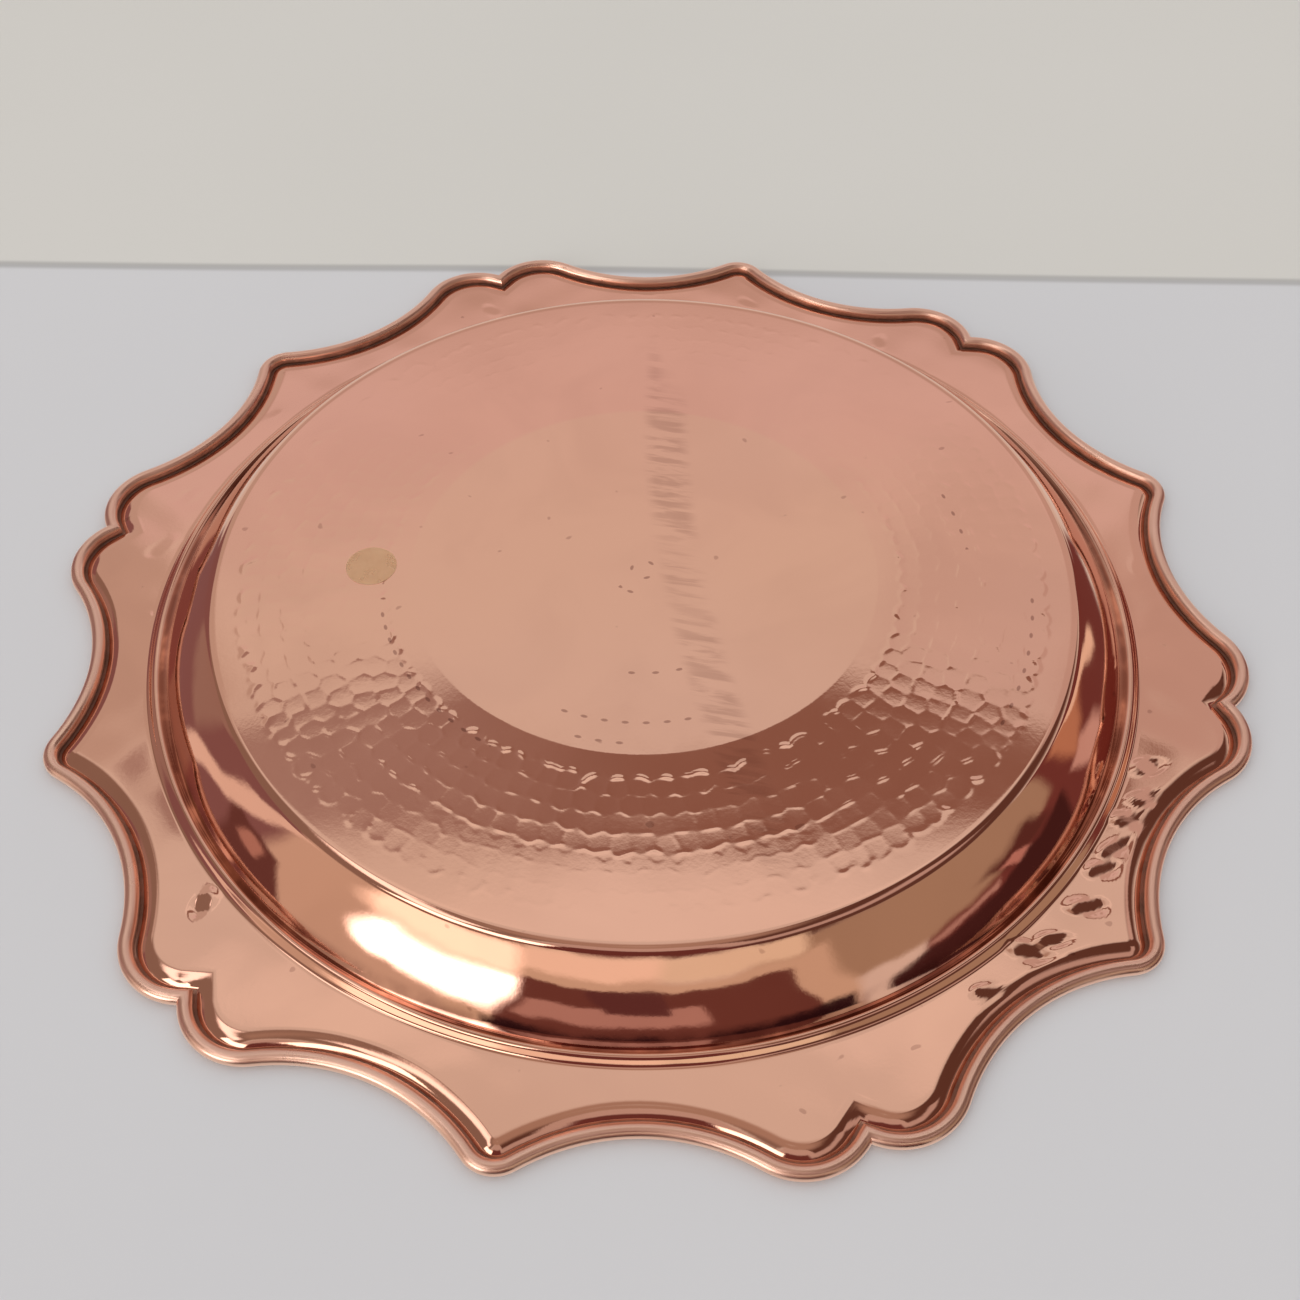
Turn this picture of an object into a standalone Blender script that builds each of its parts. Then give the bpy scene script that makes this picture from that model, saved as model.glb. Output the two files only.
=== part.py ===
"""A hammered copper tray, modelled as it lies: upside down, on its rolled edge.

+Z points out of the underside of the tray and Z = 0 is the surface that the edge rests on. The outline
repeats six times round the Z axis: a double lobe with a notch in it faces +X and a pointed tip stands at
30 degrees. Every length below is in metres.
"""
import math

import bmesh
import bpy

MM = 0.001

# Sheet
SHEET = 0.8 * MM
SECTORS = 6
TIP_ANGLE = math.pi / SECTORS

# Outline of one half sector, from the notch at 0 degrees to the tip at 30: three arcs, each touching the next
LOBE_CENTRE_RADIUS = 168.4 * MM
LOBE_CENTRE_ANGLE = math.radians(4.41)
LOBE_RADIUS = 20.2 * MM
BAY_CENTRE_RADIUS = 233.1 * MM
BAY_CENTRE_ANGLE = math.radians(18.26)
TIP_CENTRE_RADIUS = 175.7 * MM
LOBE_STEPS = 4
BAY_STEPS = 4
TIP_STEPS = 1

# Dish, seen from below: a flat bottom with a slightly hollow centre, a wall, and a bead at its foot
HEIGHT = 24.0 * MM
CENTRE_RADIUS = 71.7 * MM
CENTRE_HOLLOW = 1.25 * MM
HOLLOW_RING = 0.5
BOTTOM_RADIUS = 129.5 * MM
SHOULDER_RADIUS = 133.5 * MM
SHOULDER_DROP = 3.0 * MM
SHOULDER_MIDDLE_DROP = 0.9 * MM
WALL_FOOT_RADIUS = 149.2 * MM
WALL_FOOT_HEIGHT = 4.0 * MM
WALL_BULGE = 1.0 * MM
WALL_STEPS = 3
BEAD_RADIUS = 154.8 * MM
BEAD_HEIGHT = 1.9 * MM
BEAD_ROUND = 0.9 * MM
BEAD_ROUND_HEIGHT = 1.14 * MM
BRIM_HEIGHT = 2.8 * MM

# Edge: a rounded moulding that runs down from the brim to a valley, then a roll closed round a wire
BRIM_INSET = 10.2 * MM
VALLEY_INSET = 4.6 * MM
MOULDING_STEPS = 3
ROLL_RADIUS = 2.1 * MM
ROLL_END = math.radians(198)
ROLL_STEPS = 6
WIRE_CLEARANCE = 0.3 * MM

# Label
LABEL_RADIUS = 7.8 * MM
LABEL_THICKNESS = 0.2 * MM
LABEL_CENTRE_RADIUS = 83.8 * MM
LABEL_ANGLE = math.radians(191.7)
LABEL_GAP = 0.3 * MM

# Finishes
COPPER = (0.86, 0.47, 0.34)
COPPER_ROUGHNESS = 0.12
WIRE_STEEL = (0.42, 0.41, 0.40)
WIRE_ROUGHNESS = 0.45
LABEL_YELLOW = (0.72, 0.50, 0.22)
LABEL_ROUGHNESS = 0.3
LABEL_ALPHA = 0.5
SHARP_ANGLE = math.radians(35)

# The turned mesh merges the vertices that lie on its axis within this distance
AXIS_MERGE = 0.05 * MM


def polar(radius, angle):
    return radius * math.cos(angle), radius * math.sin(angle)


def direction(start, end):
    return math.atan2(end[1] - start[1], end[0] - start[0])


def arc(centre, radius, first, last, steps, facing):
    """Points along an arc with their outward normals; facing is -1 where the outline bends inwards."""
    stations = []
    for step in range(steps + 1):
        angle = first + (last - first) * step / steps
        x, y = polar(radius, angle)
        normal = (facing * math.cos(angle), facing * math.sin(angle))
        stations.append(((centre[0] + x, centre[1] + y), normal))
    return stations


def half_sector():
    """The outline from the notch to the tip: a list of (point, outward normal)."""
    lobe = polar(LOBE_CENTRE_RADIUS, LOBE_CENTRE_ANGLE)
    bay = polar(BAY_CENTRE_RADIUS, BAY_CENTRE_ANGLE)
    tip = polar(TIP_CENTRE_RADIUS, TIP_ANGLE)
    bay_radius = math.dist(lobe, bay) - LOBE_RADIUS
    tip_radius = math.dist(tip, bay) - bay_radius
    notch_angle = -math.asin(lobe[1] / LOBE_RADIUS)
    stations = arc(lobe, LOBE_RADIUS, notch_angle, direction(lobe, bay), LOBE_STEPS, 1)
    last = direction(bay, tip) - 2 * math.pi
    stations += arc(bay, bay_radius, direction(bay, lobe), last, BAY_STEPS, -1)[1:]
    stations += arc(tip, tip_radius, direction(tip, bay), TIP_ANGLE, TIP_STEPS, 1)[1:]
    # The two lobes meet in a mitre at the notch.
    stations[0] = (stations[0][0], (1 / math.cos(notch_angle), 0))
    return stations


def turn(vector, angle):
    cosine = math.cos(angle)
    sine = math.sin(angle)
    return vector[0] * cosine - vector[1] * sine, vector[0] * sine + vector[1] * cosine


def mirror(vector):
    """Mirror in the line through the tip, at 30 degrees."""
    return turn((vector[0], -vector[1]), 2 * TIP_ANGLE)


def whole_outline():
    half = half_sector()
    other_half = [(mirror(point), mirror(normal)) for point, normal in reversed(half[1:-1])]
    outline = []
    for sector in range(SECTORS):
        angle = 2 * TIP_ANGLE * sector
        outline += [(turn(point, angle), turn(normal, angle)) for point, normal in half + other_half]
    return outline


def bulged_line(start, end, bulge, steps):
    """Points from start to end on a line that swells outwards by bulge at its middle."""
    across = (start[1] - end[1], end[0] - start[0])
    points = []
    for step in range(steps + 1):
        fraction = step / steps
        swell = bulge * math.sin(math.pi * fraction) / math.hypot(*across)
        radius = start[0] + (end[0] - start[0]) * fraction + across[0] * swell
        height = start[1] + (end[1] - start[1]) * fraction + across[1] * swell
        points.append((radius, height))
    return points


def dish_profile():
    """Upper surface of the turned part, from the centre out and down to the brim: (radius, height)."""
    profile = [
        (0, HEIGHT - CENTRE_HOLLOW),
        (CENTRE_RADIUS * HOLLOW_RING, HEIGHT - CENTRE_HOLLOW * (1 - HOLLOW_RING ** 2)),
        (CENTRE_RADIUS, HEIGHT),
        (BOTTOM_RADIUS, HEIGHT),
        ((BOTTOM_RADIUS + SHOULDER_RADIUS) / 2, HEIGHT - SHOULDER_MIDDLE_DROP),
    ]
    shoulder = (SHOULDER_RADIUS, HEIGHT - SHOULDER_DROP)
    wall_foot = (WALL_FOOT_RADIUS, WALL_FOOT_HEIGHT)
    profile += bulged_line(shoulder, wall_foot, WALL_BULGE, WALL_STEPS)
    profile.append(((WALL_FOOT_RADIUS + BEAD_RADIUS) / 2, BRIM_HEIGHT + BEAD_HEIGHT))
    profile.append((BEAD_RADIUS - BEAD_ROUND, BRIM_HEIGHT + BEAD_ROUND_HEIGHT))
    profile.append((BEAD_RADIUS, BRIM_HEIGHT))
    return profile


def edge_profile():
    """Upper surface of the edge, from the brim outwards and round the inside of the roll: (inset, height)."""
    run = BRIM_INSET - VALLEY_INSET
    last_tilt = 2 * math.atan((BRIM_HEIGHT - SHEET) / run)
    radius = run / math.sin(last_tilt)
    profile = []
    for step in range(MOULDING_STEPS + 1):
        tilt = last_tilt * step / MOULDING_STEPS
        profile.append((BRIM_INSET - radius * math.sin(tilt), BRIM_HEIGHT - radius * (1 - math.cos(tilt))))
    inner = ROLL_RADIUS - SHEET
    for step in range(ROLL_STEPS + 1):
        angle = -math.pi / 2 + (ROLL_END + math.pi / 2) * step / ROLL_STEPS
        profile.append((ROLL_RADIUS - inner * math.cos(angle), ROLL_RADIUS + inner * math.sin(angle)))
    return profile


def material(name, colour, roughness, metallic, alpha=1.0):
    result = bpy.data.materials.new(name)
    result.use_nodes = True
    shader = result.node_tree.nodes["Principled BSDF"]
    shader.inputs["Base Color"].default_value = (*colour, 1.0)
    shader.inputs["Roughness"].default_value = roughness
    shader.inputs["Metallic"].default_value = metallic
    shader.inputs["Alpha"].default_value = alpha
    return result


def add_object(name, data, collection, finish):
    thing = bpy.data.objects.new(name, data)
    collection.objects.link(thing)
    thing.data.materials.append(finish)
    return thing


def turned_mesh(profile, steps):
    """The mesh that a Screw modifier turns from a profile."""
    line = bpy.data.meshes.new("profile")
    points = [(radius, 0, height) for radius, height in profile]
    line.from_pydata(points, [(i, i + 1) for i in range(len(points) - 1)], [])
    blank = bpy.data.objects.new("profile", line)
    bpy.context.scene.collection.objects.link(blank)
    screw = blank.modifiers.new("turn", "SCREW")
    screw.steps = steps
    screw.render_steps = steps
    screw.use_merge_vertices = True
    screw.merge_threshold = AXIS_MERGE
    bpy.context.view_layer.update()
    evaluated = blank.evaluated_get(bpy.context.evaluated_depsgraph_get())
    mesh = bpy.data.meshes.new_from_object(evaluated)
    bpy.data.objects.remove(blank)
    return mesh


def outer_loop(sheet):
    """The open edge of the dish as a ring of vertices, counter-clockwise from +X."""
    ring = {vertex for edge in sheet.edges if edge.is_boundary for vertex in edge.verts}
    full_turn = 2 * math.pi
    nudge = 0.001
    return sorted(ring, key=lambda vertex: (math.atan2(vertex.co.y, vertex.co.x) + nudge) % full_turn)


def grow_edge(sheet, outline, profile):
    """Loft the scalloped edge on to the dish, one ring of faces for each point of the profile."""
    ring = outer_loop(sheet)
    count = len(outline)
    for inset, height in profile:
        grown = []
        for point, normal in outline:
            place = (point[0] - normal[0] * inset, point[1] - normal[1] * inset, height)
            grown.append(sheet.verts.new(place))
        for i in range(count):
            j = (i + 1) % count
            sheet.faces.new((ring[i], grown[i], grown[j], ring[j]))
        ring = grown


def make_sheet(collection):
    outline = whole_outline()
    mesh = turned_mesh(dish_profile(), len(outline))
    sheet = bmesh.new()
    sheet.from_mesh(mesh)
    grow_edge(sheet, outline, edge_profile())
    bmesh.ops.recalc_face_normals(sheet, faces=sheet.faces)
    if min(sheet.faces, key=lambda face: face.calc_center_median().length).normal.z < 0:
        bmesh.ops.reverse_faces(sheet, faces=sheet.faces)
    sheet.to_mesh(mesh)
    sheet.free()
    mesh.shade_smooth()
    mesh.set_sharp_from_angle(angle=SHARP_ANGLE)
    tray = add_object("hammered_sheet", mesh, collection, material("copper", COPPER, COPPER_ROUGHNESS, 1.0))
    solid = tray.modifiers.new("thickness", "SOLIDIFY")
    solid.thickness = SHEET
    solid.offset = -1
    solid.use_even_offset = True
    solid.use_quality_normals = True
    return tray


def make_wire(collection):
    curve = bpy.data.curves.new("rim_wire", "CURVE")
    curve.dimensions = "3D"
    curve.bevel_depth = ROLL_RADIUS - SHEET - WIRE_CLEARANCE
    curve.bevel_resolution = 1
    outline = whole_outline()
    spline = curve.splines.new("POLY")
    spline.points.add(len(outline) - 1)
    for place, (point, normal) in zip(spline.points, outline):
        x = point[0] - normal[0] * ROLL_RADIUS
        y = point[1] - normal[1] * ROLL_RADIUS
        place.co = (x, y, ROLL_RADIUS, 1)
    spline.use_cyclic_u = True
    return add_object("rim_wire", curve, collection, material("wire_steel", WIRE_STEEL, WIRE_ROUGHNESS, 1.0))


def make_label(collection):
    x, y = polar(LABEL_CENTRE_RADIUS, LABEL_ANGLE)
    bpy.ops.mesh.primitive_cylinder_add(
        vertices=32,
        radius=LABEL_RADIUS,
        depth=LABEL_THICKNESS,
        location=(x, y, HEIGHT + LABEL_GAP + LABEL_THICKNESS / 2),
    )
    label = bpy.context.object
    label.name = "round_label"
    label.data.name = "round_label"
    for owner in label.users_collection:
        owner.objects.unlink(label)
    collection.objects.link(label)
    label.data.shade_smooth()
    label.data.set_sharp_from_angle(angle=SHARP_ANGLE)
    label.data.materials.append(material("label_film", LABEL_YELLOW, LABEL_ROUGHNESS, 0.0, LABEL_ALPHA))
    return label


def main():
    for thing in list(bpy.data.objects):
        bpy.data.objects.remove(thing)
    collection = bpy.data.collections.new("hammered_copper_tray")
    bpy.context.scene.collection.children.link(collection)
    make_sheet(collection)
    make_wire(collection)
    make_label(collection)


main()
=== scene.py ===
"""The looks of the hammered copper tray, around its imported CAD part.

The tray lies upside down, as the CAD has it: +Z points out of its underside and Z = 0 is the table.
The plain CAD sheet is replaced by one with its planishing marks; the wire in its edge keeps the CAD
shape, and the round label becomes a thin film that follows the sheet. Lengths are in metres.
"""
import math

import bpy
import numpy as np
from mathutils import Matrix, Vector


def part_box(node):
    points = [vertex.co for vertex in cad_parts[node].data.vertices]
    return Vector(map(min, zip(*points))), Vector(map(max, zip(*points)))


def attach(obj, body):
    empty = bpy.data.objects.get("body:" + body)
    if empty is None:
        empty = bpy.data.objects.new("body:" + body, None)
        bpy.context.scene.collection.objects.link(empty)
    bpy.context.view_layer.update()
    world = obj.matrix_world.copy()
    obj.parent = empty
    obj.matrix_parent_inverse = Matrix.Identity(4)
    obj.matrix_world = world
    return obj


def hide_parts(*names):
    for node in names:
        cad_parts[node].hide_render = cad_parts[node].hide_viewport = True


MM = 0.001

# The CAD part's driving dimensions, with the roll closed a little further
SHEET = 0.8 * MM
SECTORS = 6
TIP_ANGLE = math.pi / SECTORS
LOBE_CENTRE_RADIUS = 168.4 * MM
LOBE_CENTRE_ANGLE = math.radians(4.41)
LOBE_RADIUS = 20.2 * MM
BAY_CENTRE_RADIUS = 233.1 * MM
BAY_CENTRE_ANGLE = math.radians(18.26)
TIP_CENTRE_RADIUS = 175.7 * MM
HEIGHT = 24.0 * MM
CENTRE_RADIUS = 71.7 * MM
CENTRE_HOLLOW = 1.25 * MM
BOTTOM_RADIUS = 129.5 * MM
WALL_FOOT_RADIUS = 149.2 * MM
WALL_FOOT_HEIGHT = 4.0 * MM
WALL_BULGE = 1.0 * MM
BEAD_RADIUS = 154.8 * MM
BEAD_HEIGHT = 1.9 * MM
BRIM_HEIGHT = 2.8 * MM
BRIM_INSET = 10.2 * MM
VALLEY_INSET = 4.6 * MM
ROLL_RADIUS = 2.1 * MM
ROLL_END = math.radians(212)

# The turned profile: the shoulder, the wall's foot, the bead, and the rows of mesh across each
SHOULDER_START = BOTTOM_RADIUS + 0.8 * MM
SHOULDER_ROUND = 5.2 * MM
SHOULDER_SLOPE = math.radians(40)
SHOULDER_STEPS = 9
WALL_FOOT_ROUND = 0.6 * MM
WALL_STEPS = 12
BEAD_HALF_WIDTH = 3.3 * MM
BEAD_RUN_OUT = 0.5 * MM
BEAD_STEPS = 14
BRIM_STEPS = 20
MOULDING_STEPS = 10
ROLL_INNER_STEPS = 12
ROLL_OUTER_STEPS = 24
# How far the cut edge of the sheet bulges, as a share of the sheet, and how far the flat that the tray rests
# on goes in past the valley
LIP_ROUND = 0.35
VALLEY_FLAT = 0.25 * MM

# Columns of mesh round the tray: in the ring of marks and elsewhere. The outline has COLUMNS too: in each of
# its twelve half sectors, those of a lobe, of a bay and of half a point.
RING_COLUMNS = 1200
COLUMNS = 600
LOBE_COLUMNS = 22
BAY_COLUMNS = 22
TIP_COLUMNS = 6
# Rows of mesh in the ring of marks, and the radii (mm) of the rows elsewhere on the flat bottom. Each group
# of radii has a share of the columns: 8 means an eighth of them.
RING_ROWS = 106
RING_ROWS_PAST = 1.2 * MM
CENTRE_RINGS = (((1.5, 4, 7), 8), ((10, 14, 18, 22), 4), ((26, 30, 35), 2),
                ((40, 45, 50, 55, 60, 64, 68, 70, 71.2), 1))
MARGIN_RINGS = (124.6, 126, 128, 129.6)
INSIDE_RINGS = (((71, 62, 52, 42, 32), 4), ((22, 12, 5), 8))
# On the inside: the rows under the brim, and those under the ring of marks (first and last radius, step)
INSIDE_BRIM_STEPS = 4
INSIDE_MARKS = (121, 72, -2.0)

# Planishing marks: a smooth first row, then rows of shallow round facets with crests between them. The
# curvatures are per metre. RELIEF_FROM and RELIEF_TO are where the marks are worked out at all.
RING_INNER = CENTRE_RADIUS
RING_OUTER = 122.8 * MM
RELIEF_FROM = RING_INNER - 1 * MM
RELIEF_TO = RING_OUTER + 3 * MM
RING_EDGE = 0.6 * MM
FIRST_ROW = 7.0 * MM
FIRST_DEPTH = 0.0048 * MM
FIRST_CURVATURE = 0.6
BLOW_SEED = 5
BLOW_ROWS = 7
BLOW_PITCH = 6.2 * MM
BLOW_DEPTH = 0.012 * MM
BLOW_CURVATURE = 2.2
# How much one blow differs from the next: in place across and along the row, in depth and in tilt
BLOW_SHIFT_ACROSS = 0.30 * MM
BLOW_SHIFT_ALONG = 0.55 * MM
BLOW_DEPTH_SPREAD = 0.0005 * MM
BLOW_TILT = 0.0008
CREST_HEIGHT = 0.022 * MM
CREST_WIDTH = 0.40 * MM
# How strong the crests are: inside a row, and on the line between each row and the next. They come and go
# round the ring, as waves (seed, length and height) that swing round a mean and are cut off at a most.
CREST_IN_ROW = 0.30
CREST_OF_ROWS = (2.4, 1.0, 0.9, 1.1, 1.6, 1.3, 1.0, 1.8)
CREST_MEAN = 0.65
CREST_SWING = 0.95
CREST_MOST = 1.9
CREST_WAVES = (13, 5.5 * MM, 1.0)
# Where the marks are worn: the rows from this number outwards round one side, and all rows round the other
WORN_ROWS = 5
WORN_ANGLE = math.radians(-84)
WORN_SPREAD = math.radians(38)
WORN_SHARE = 0.85
FAR_ANGLE = math.radians(98)
FAR_SPREAD = math.radians(72)
FAR_SHARE = 0.8

# Strokes in the brim: the middle and half spread of a group (degrees), how many, and how steep. Then, drawn
# for each stroke between two ends: its place in its share of the group, its radius, half length and half
# width (mm) and its heading from the radius (degrees). Last, where its soft edge starts and ends.
BRIM_DENTS = ((-26, 19, 9, 0.14), (-128, 5, 1, 0.15), (55, 80, 8, 0.02), (178, 25, 4, 0.02))
DENT_SEED = 11
DENT_PLACES = (0.2, 0.8)
DENT_RADII = (158.8, 164.5)
DENT_LENGTHS = (3.8, 5.6)
DENT_WIDTHS = (2.0, 2.8)
DENT_HEADINGS = (20, 70)
DENT_EDGE = (0.9, 1.3)

# Waviness: how many plane waves, and how their lengths differ. Then the seed, length and height of the whole
# sheet's and of the brim's.
WAVE_COUNT = 9
WAVE_LENGTHS = (0.7, 1.5)
SHEET_WAVES = (3, 70 * MM, 0.030 * MM)
BRIM_WAVES = (5, 24 * MM, 0.045 * MM)
BRIM_FROM = 150 * MM
BRIM_FULLY = 158 * MM

# Rows of mesh that are tarnished: before and after the one where the roll's outside starts
TARNISHED_BEFORE = 16
TARNISHED_AFTER = 4
SHEET_SHARP_ANGLE = math.radians(38)

# The label's film on the relief
LABEL_RINGS = 12
LABEL_COLUMNS = 72
LABEL_GAP = 0.02 * MM
LABEL_THICKNESS = 0.09 * MM
LABEL_SHARP_ANGLE = math.radians(35)

# Colours; a pair is the two ends of a material's mottling
COPPER = (0.885, 0.495, 0.365, 1)
COPPER_WORN = (0.95, 0.62, 0.50, 1)
COPPER_PINK = (0.885, 0.51, 0.40, 1)
COPPER_DIRTY = (0.40, 0.19, 0.145, 1)
VALLEY_COLOURS = ((0.58, 0.32, 0.235, 1), (0.40, 0.21, 0.15, 1))
LABEL_COLOURS = ((0.84, 0.55, 0.30, 1), (0.92, 0.63, 0.36, 1))
WIRE_COLOURS = ((0.36, 0.35, 0.34, 1), (0.50, 0.49, 0.47, 1))
TABLE_COLOURS = ((0.67, 0.665, 0.68, 1), (0.71, 0.705, 0.715, 1))
WALL_COLOURS = ((0.68, 0.66, 0.61, 1), (0.74, 0.72, 0.68, 1))
JOINT_COLOUR = (0.42, 0.41, 0.40, 1)

# Finishes: two numbers are the smoothest and the roughest, and a strength is how far a mark hides the colour.
# That of the specks is a share of the pricks'.
POLISHED_ROUGHNESS = (0.035, 0.08)
RUBBED_ROUGHNESS = (0.26, 0.38)
VALLEY_ROUGHNESS = (0.34, 0.55)
VALLEY_METALLIC = 0.7
WIRE_ROUGHNESS = (0.38, 0.55)
LABEL_ROUGHNESS = 0.38
LABEL_ALPHA = 0.36
TABLE_ROUGHNESS = 0.7
GRAIN_DEPTH = 0.004 * MM
TARNISH_STRENGTH = 0.10
PINK_STRENGTH = 0.5
SMEAR_STRENGTH = 0.38
FOOT_DARKENING_STRENGTH = 0.8
SPECK_STRENGTH = 0.6
PRICK_STRENGTH = 0.75
JOINT_STRENGTH = 0.75
JOINT_WIDTHS = (0.6 * MM, 3.5 * MM)
WALL_EDGE = 1 * MM

# Rings of pricks left by the turning and laying out: radius, spacing (mm), first and last angle (degrees)
PRICK_RINGS = (
    (80.6, 5.2, -156, -110), (3.6, 7.5, -181, 181), (10, 4, -125, -85), (41.5, 7, -84, -62),
    (60.0, 6, -101, -63), (67.5, 6, -96, -82), (101.0, 8, 16, 31), (118.5, 7, -20, 8),
)
PRICK_LENGTH = 1.1 * MM
PRICK_WIDTH = 0.55 * MM
PRICK_EDGE = (0.4, 1.3)
# A patchy, darker band round the wall's foot: its radius, and its solid and whole half width
FOOT_DARKENING_RADIUS = 149.6 * MM
FOOT_DARKENING_WIDTHS = (0.6 * MM, 3.0 * MM)
# The smear's middle is at x = start + lean * y + bend * y * y, in metres. Then its solid and whole half
# width, and the radii between which it fades out.
SMEAR_START = 0.0125
SMEAR_LEAN = -0.36
SMEAR_BEND = 1.15
SMEAR_WIDTHS = (3.5 * MM, 9 * MM)
SMEAR_ENDS = (108 * MM, 124 * MM)

# The table, a little below the tray, and the wall behind it: its normal, its distance from the tray's middle
# and how uneven its foot is
TABLE_HALF = 12.0
TABLE_DROP = 0.02 * MM
WALL_NORMAL = (-0.180, 0.984, 0)
WALL_DISTANCE = 0.180
WALL_BEND = 0.012

CAMERA_AZIMUTH = math.radians(12.25)
CAMERA_PLACE = Vector((0.0696, -0.3207, 0.3776))
CAMERA_AIM = Vector((0.0048, -0.0127, 0.0))
CAMERA_LENS = 43.29
CAMERA_SENSOR = 36
CAMERA_NEAR = 0.01

# The surroundings' ground colour, and the plain colours that diffuse light and the camera find instead
PALE = (0.715, 0.70, 0.655, 1)
PALE_TO_DIFFUSE = (0.80, 0.80, 0.81, 1)
PALE_TO_CAMERA = (0.70, 0.69, 0.66, 1)
# What stands round the table, seen from the tray: azimuth from straight ahead of the camera, half its width,
# lowest and highest elevation, softness (degrees), how far it leans, and its colour. Later ones stand in
# front of earlier ones.
ROOM = (
    (100, 58, 30, 84, 6, 0, (0.12, 0.06, 0.045)),
    (-92, 50, 30, 84, 6, 0, (0.27, 0.20, 0.165)),
    (180, 185, 76, 91, 6, 0, (0.42, 0.32, 0.26)),
    # ahead
    (0, 32, 58.6, 63.5, 1.5, 0, (0.84, 0.82, 0.77)),
    (0, 40, 34, 45, 3, 0, (0.715, 0.635, 0.63)),
    (20, 7, 43, 50.5, 2, 0, (0.66, 0.60, 0.575)),
    (0, 45, 14, 37, 3, 0, (0.54, 0.455, 0.42)),
    (-35, 13.5, 14, 50.4, 1.5, 0, (0.56, 0.50, 0.455)),
    (37, 12, 20, 50.4, 2, 0, (0.585, 0.495, 0.465)),
    # left side
    (-82, 41, -16, 34, 1.5, 0, (0.24, 0.13, 0.135)),
    (-66, 9, -4, 34, 2, 0, (0.33, 0.235, 0.21)),
    (-124, 23, -18, 36, 3, 0, (0.62, 0.52, 0.43)),
    (-98, 9, -12, 7, 1.2, 0, (0.14, 0.06, 0.055)),
    (-96, 3, -2, 5, 1, -0.6, (0.45, 0.26, 0.22)),
    (-82.5, 3.2, -20, 27, 1.2, -0.83, (0.80, 0.68, 0.60)),
    # right side
    (122, 40, 50, 62, 3, 0, (0.52, 0.43, 0.40)),
    (86, 40, -16, 24, 1.5, 0, (0.17, 0.055, 0.05)),
    (78, 4, -16, 1, 1.5, 0.6, (0.60, 0.42, 0.38)),
    (72, 6, 1, 12, 2, 0.5, (0.50, 0.27, 0.17)),
    (64, 2, -6, 16, 1, 0.9, (0.85, 0.70, 0.56)),
    (124, 34, 7.5, 33, 2, 0, (0.40, 0.32, 0.235)),
    (97, 7, 3, 12, 2, 0.8, (0.11, 0.04, 0.035)),
    (118, 7, 3, 5.5, 1, 0, (0.45, 0.30, 0.27)),
    (100, 2.5, -8, 9, 1, 0.9, (0.50, 0.27, 0.24)),
    # near side
    (180, 34, 56, 78, 3, 0, (0.55, 0.46, 0.42)),
    (180, 30, 37, 50, 3, 0, (0.12, 0.055, 0.045)),
    (181, 21, 37, 63, 3, 0, (0.15, 0.05, 0.045)),
    (180, 34, 28, 37, 2, 0, (0.83, 0.78, 0.62)),
    (-166, 15, 20, 37, 3, 0, (0.98, 0.86, 0.72)),
    (180, 38, -20, 28, 1.5, 0, (0.65, 0.55, 0.43)),
    (178, 28, -20, 24, 0.8, 0, (0.155, 0.06, 0.05)),
    (186, 17, 7, 15.5, 1.0, 0, (0.46, 0.29, 0.26)),
    (184, 7, 12, 24, 0.8, 0, (0.12, 0.045, 0.045)),
    (176, 33, -20, 3.5, 1.2, 0, (0.035, 0.012, 0.016)),
    (112, 24, -20, 2, 1.5, 0, (0.06, 0.02, 0.02)),
    # windows
    (-136, 18, 24, 35, 3, 0, (1.70, 1.55, 1.35)),
    (-136, 20, 36, 44, 1.5, 0, (0.25, 0.16, 0.12)),
    (-134, 24, 46, 58, 2, 0, (2.8, 2.7, 2.5)),
    (-139, 15, 6, 23, 2.5, 0, (4.0, 3.9, 3.8)),
    (-84, 38, 60, 69, 3, 0, (1.7, 1.65, 1.6)),
)
# Their edges are uneven: noise scale, detail and swing (degrees), sideways and up
WOBBLE_SIDEWAYS = (3.2, 0, 12.0)
WOBBLE_UP = (6.5, 2, 6.0)
# The dark band that the ring of marks reflects (degrees): its low edge, its top and the top's softness, how
# much lower the top is so far to either side, and where its ends fade. Its tone is paler at the left, and
# gives way to the other between two azimuths.
BAND_LOW = (50.3, 51.3)
BAND_TOP = 57.3
BAND_TOP_SOFT = 0.9
BAND_DROP = 2.0
BAND_DROP_AT = 20.0
BAND_ENDS = (27, 31)
BAND_TONES = ((0.40, 0.31, 0.29, 1), (0.28, 0.165, 0.13, 1))
BAND_TONES_AT = (-22, 3)


def polar(radius, angle):
    return radius * math.cos(angle), radius * math.sin(angle)


def direction(start, end):
    return math.atan2(end[1] - start[1], end[0] - start[0])


def smooth_step(low, high, value):
    t = np.clip((value - low) / (high - low), 0, 1)
    return t * t * (3 - 2 * t)


# ---------------------------------------------------------------- outline

def arc(centre, radius, first, last, steps, facing):
    """Points along an arc with their outward normals; facing is -1 where the outline bends inwards."""
    angles = np.linspace(first, last, steps + 1)
    outward = np.stack([np.cos(angles), np.sin(angles)], 1)
    return np.array(centre) + radius * outward, facing * outward


def turned(vectors, angle):
    cosine, sine = math.cos(angle), math.sin(angle)
    return np.stack([vectors[:, 0] * cosine - vectors[:, 1] * sine,
                     vectors[:, 0] * sine + vectors[:, 1] * cosine], 1)


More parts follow.
